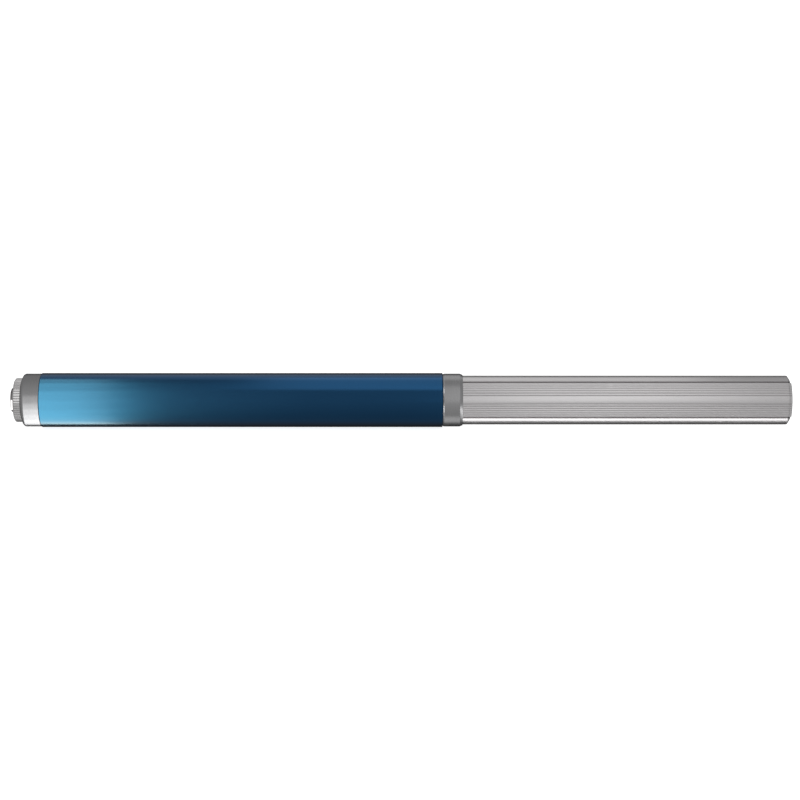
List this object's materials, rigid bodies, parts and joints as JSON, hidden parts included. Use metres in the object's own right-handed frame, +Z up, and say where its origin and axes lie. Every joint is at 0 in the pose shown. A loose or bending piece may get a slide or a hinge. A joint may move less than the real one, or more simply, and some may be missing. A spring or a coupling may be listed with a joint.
{
  "type": "desoldering pump",
  "caption": "Slim spring-driven desoldering pump: anodised barrel, ribbed plunger tube pushed in to cock it, rocking trigger, draw-in nozzle in a knurled clamp.",
  "frame": {"origin": "centre of the nozzle's mouth, with the nozzle stowed", "axes": "+X along the pump from the mouth to the plunger's end cap; +Z up as the pump lies on a bench on its barrel and the edge of its trigger housing; +Y towards the trigger"},
  "size_m": [0.2876, 0.0264, 0.02],
  "materials": {
    "anodised_blue": "satin blue anodised, fine lengthwise grain",
    "satin_silver": "satin turned aluminium",
    "knurled_silver": "straight-knurled aluminium",
    "ribbed_silver": "extruded aluminium with fine lengthwise lines",
    "bright_metal": "polished",
    "white_ptfe": "waxy white",
    "black_rubber": "matt black",
    "spring_steel": "drawn wire",
    "screw_steel": "plain steel",
    "brass": "turned",
    "trigger_black": "fine matt moulded"
  },
  "bodies": {
    "pump_body": {"barrel": "anodised_blue", "front_collar": "satin_silver", "front_seal": "black_rubber", "collet": "bright_metal", "nozzle_seal": "black_rubber", "spring_seat": "white_ptfe", "main_spring": "spring_steel", "rear_collar": "satin_silver", "wiper_ring": "white_ptfe", "trigger_housing": "satin_silver", "housing_screw": "screw_steel", "guide_screw": "screw_steel", "trigger_pin": "screw_steel", "trigger_spring": "spring_steel"},
    "plunger": {"plunger_tube": "ribbed_silver", "end_cap": "ribbed_silver", "tie_rod": "screw_steel", "piston": "brass", "piston_ring_front": "black_rubber", "piston_ring_rear": "black_rubber", "pin_nut": "screw_steel", "cleaning_pin": "bright_metal"},
    "nozzle": {"nozzle": "white_ptfe"},
    "clamp": {"clamp_ring": "knurled_silver"},
    "trigger": {"trigger": "trigger_black"}
  },
  "joints": [
    {"name": "plunger_slide", "type": "slide", "parent": "pump_body", "child": "plunger", "axis": [-1, 0, 0], "range_m": [0, 0.07], "stiffness_N_per_m": 200, "springref_m": -0.03, "deforming": ["main_spring"]},
    {"name": "nozzle_slide", "type": "slide", "parent": "pump_body", "child": "nozzle", "axis": [-1, 0, 0], "range_m": [0, 0.02]},
    {"name": "clamp_turn", "type": "hinge", "parent": "pump_body", "child": "clamp", "pos_m": [0.003, 0, 0], "axis": [1, 0, 0], "range_deg": [0, 180]},
    {"name": "trigger_rock", "type": "hinge", "parent": "pump_body", "child": "trigger", "pos_m": [0.146, 0.01137, -0.00494], "axis": [0, 0.3985, 0.9172], "range_deg": [0, 9], "stiffness_Nm_per_rad": 0.05, "springref_deg": -11.46, "deforming": ["trigger_spring"]}
  ]
}
